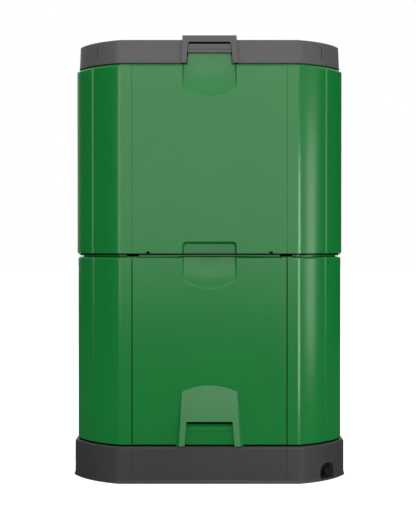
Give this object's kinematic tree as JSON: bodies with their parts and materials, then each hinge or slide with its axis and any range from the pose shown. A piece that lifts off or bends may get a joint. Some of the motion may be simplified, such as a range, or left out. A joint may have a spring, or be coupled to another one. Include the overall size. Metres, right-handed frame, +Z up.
{
  "type": "compost bin",
  "caption": "Tall insulated compost bin with cut corners: drain base with tap, foam-filled walls in two tiers, tilting doors, slotted air core and a hinged, latched lid.",
  "frame": {"origin": "on the ground under the middle of the bin", "axes": "+Z up, the front with the lid latch and the pull faces -Y, +X to the right of someone who faces the front"},
  "size_m": [0.74, 0.74, 1.18],
  "materials": {
    "green_plastic": "satin moulded green plastic",
    "lid_plastic": "fine matt mid-grey moulded plastic",
    "base_plastic": "matt dark grey moulded plastic",
    "black_plastic": "matt black moulded plastic",
    "foam": "white bead foam, hidden inside the walls",
    "tap_rubber": "black rubber",
    "pin_steel": "bright drawn steel"
  },
  "bodies": {
    "bin": {"base_tank": "base_plastic", "drain_grate": "black_plastic", "tap_body": "black_plastic", "tap_nut": "black_plastic", "lung_foot": "black_plastic", "lung_front_shell": "black_plastic", "lung_rear_shell": "black_plastic", "lung_cap": "black_plastic", "tier_clips": "black_plastic", "door_pins": "black_plastic", "tap_seal": "tap_rubber", "lower_front_frame": "green_plastic", "lower_front_foam": "foam", "lower_front_liner": "black_plastic", "lower_rear_frame": "green_plastic", "lower_rear_foam": "foam", "lower_rear_liner": "black_plastic", "lower_left_skin": "green_plastic", "lower_left_foam": "foam", "lower_left_liner": "black_plastic", "lower_right_skin": "green_plastic", "lower_right_foam": "foam", "lower_right_liner": "black_plastic", "upper_front_skin": "green_plastic", "upper_front_foam": "foam", "upper_front_liner": "black_plastic", "upper_rear_skin": "green_plastic", "upper_rear_foam": "foam", "upper_rear_liner": "black_plastic", "upper_left_skin": "green_plastic", "upper_left_foam": "foam", "upper_left_liner": "black_plastic", "upper_right_skin": "green_plastic", "upper_right_foam": "foam", "upper_right_liner": "black_plastic", "lid_hinge_pins": "pin_steel"},
    "lid": {"lid_shell": "lid_plastic", "lid_foam": "foam", "lid_liner": "black_plastic"},
    "latch": {"lid_latch": "lid_plastic"},
    "front_door": {"front_door_skin": "green_plastic", "front_door_pull": "green_plastic", "front_door_foam": "foam", "front_door_liner": "black_plastic"},
    "rear_door": {"rear_door_skin": "green_plastic", "rear_door_pull": "green_plastic", "rear_door_foam": "foam", "rear_door_liner": "black_plastic"},
    "tap_handle": {"tap_lever": "black_plastic"}
  },
  "joints": [
    {"name": "lid_hinge", "type": "hinge", "parent": "bin", "child": "lid", "pos_m": [0, 0.36, 1.1033], "axis": [-1, 0, 0], "range_deg": [0, 100]},
    {"name": "latch_pivot", "type": "hinge", "parent": "lid", "child": "latch", "pos_m": [0, -0.352, 1.141], "axis": [1, 0, 0], "range_deg": [0, 15], "stiffness_Nm_per_rad": 0.2, "springref_deg": -11.46},
    {"name": "front_door_tilt", "type": "hinge", "parent": "bin", "child": "front_door", "pos_m": [0, -0.3525, 0.59], "axis": [-1, 0, 0], "range_deg": [0, 35]},
    {"name": "rear_door_tilt", "type": "hinge", "parent": "bin", "child": "rear_door", "pos_m": [0, 0.3525, 0.59], "axis": [1, 0, 0], "range_deg": [0, 35]},
    {"name": "tap_turn", "type": "hinge", "parent": "bin", "child": "tap_handle", "pos_m": [0.2949, -0.285, 0.035], "axis": [0, 0, -1], "range_deg": [0, 90]}
  ]
}
